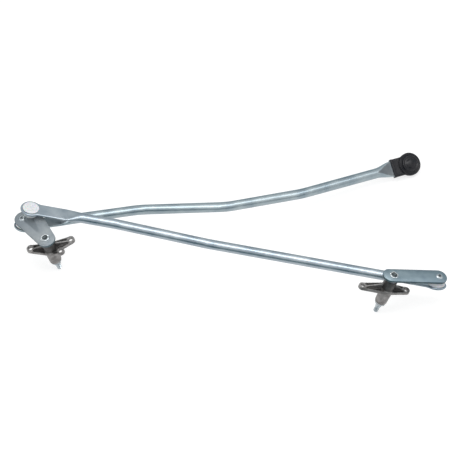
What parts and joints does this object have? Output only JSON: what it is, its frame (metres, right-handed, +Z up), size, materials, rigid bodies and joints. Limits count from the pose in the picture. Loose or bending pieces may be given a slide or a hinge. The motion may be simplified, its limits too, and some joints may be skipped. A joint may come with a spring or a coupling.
{
  "type": "wiper linkage",
  "caption": "Windscreen wiper linkage with pivot shafts in cast housings, pressed cranks, bent tube links on ball joints and a booted motor end.",
  "frame": {"origin": "on the bench that the loose linkage lies on, right below the middle of the left wiper shaft's tip", "axes": "+Z up from the bench, +X along the linkage from the left shaft towards the motor end, +Y away from the side that the shafts' front lugs face"},
  "size_m": [0.5416, 0.2889, 0.0841],
  "materials": {
    "zinc_steel": "zinc plated, satin, faintly blue",
    "spring_steel": "oiled black spring steel",
    "cast_aluminium": "as cast, fine grain",
    "white_nylon": "moulded nylon, satin",
    "sintered_bronze": "sintered, oil soaked",
    "black_rubber": "moulded, matt"
  },
  "bodies": {
    "left_crank": {"left_crank_arm": "zinc_steel", "left_shaft": "zinc_steel", "left_circlip": "spring_steel", "drive_ball_stud": "zinc_steel", "link_ball_stud": "zinc_steel"},
    "left_pivot": {"left_housing": "cast_aluminium", "left_upper_bush": "sintered_bronze", "left_lower_bush": "sintered_bronze", "left_seal_ring": "black_rubber", "left_thrust_washer": "white_nylon", "left_flat_washer": "zinc_steel"},
    "drive_link": {"drive_link_tube": "zinc_steel", "drive_link_socket": "white_nylon", "motor_socket": "white_nylon", "motor_boot": "black_rubber"},
    "connecting_link": {"connecting_link_tube": "zinc_steel", "connecting_link_left_socket": "white_nylon", "connecting_link_right_socket": "white_nylon"},
    "right_crank": {"right_crank_arm": "zinc_steel", "right_shaft": "zinc_steel", "right_circlip": "spring_steel", "right_ball_stud": "zinc_steel"},
    "right_pivot": {"right_housing": "cast_aluminium", "right_upper_bush": "sintered_bronze", "right_lower_bush": "sintered_bronze", "right_seal_ring": "black_rubber", "right_thrust_washer": "white_nylon", "right_flat_washer": "zinc_steel"}
  },
  "joints": [
    {"name": "left_shaft_turn", "type": "hinge", "parent": "left_crank", "child": "left_pivot", "pos_m": [0, 0, 0.00077], "axis": [-0.2739, -0.2156, 0.9373], "range_deg": [-50, 45]},
    {"name": "drive_link_swing", "type": "hinge", "parent": "left_crank", "child": "drive_link", "pos_m": [-0.04401, 0.02415, 0.05384], "axis": [0.0417, 0.105, 0.9936], "range_deg": [-6, 60]},
    {"name": "connecting_link_swing", "type": "hinge", "parent": "left_crank", "child": "connecting_link", "pos_m": [-0.03655, 0.02223, 0.07618], "axis": [0.094, -0.0162, 0.9954], "range_deg": [-40, 10]},
    {"name": "right_crank_swing", "type": "hinge", "parent": "connecting_link", "child": "right_crank", "pos_m": [0.4707, -0.06393, 0.03397], "axis": [0.1341, 0.2566, 0.9572], "range_deg": [0, 75]},
    {"name": "right_shaft_turn", "type": "hinge", "parent": "right_crank", "child": "right_pivot", "pos_m": [0.39445, -0.08034, 0.00077], "axis": [0.3471, -0.0575, 0.9361], "range_deg": [-70, 10]}
  ]
}
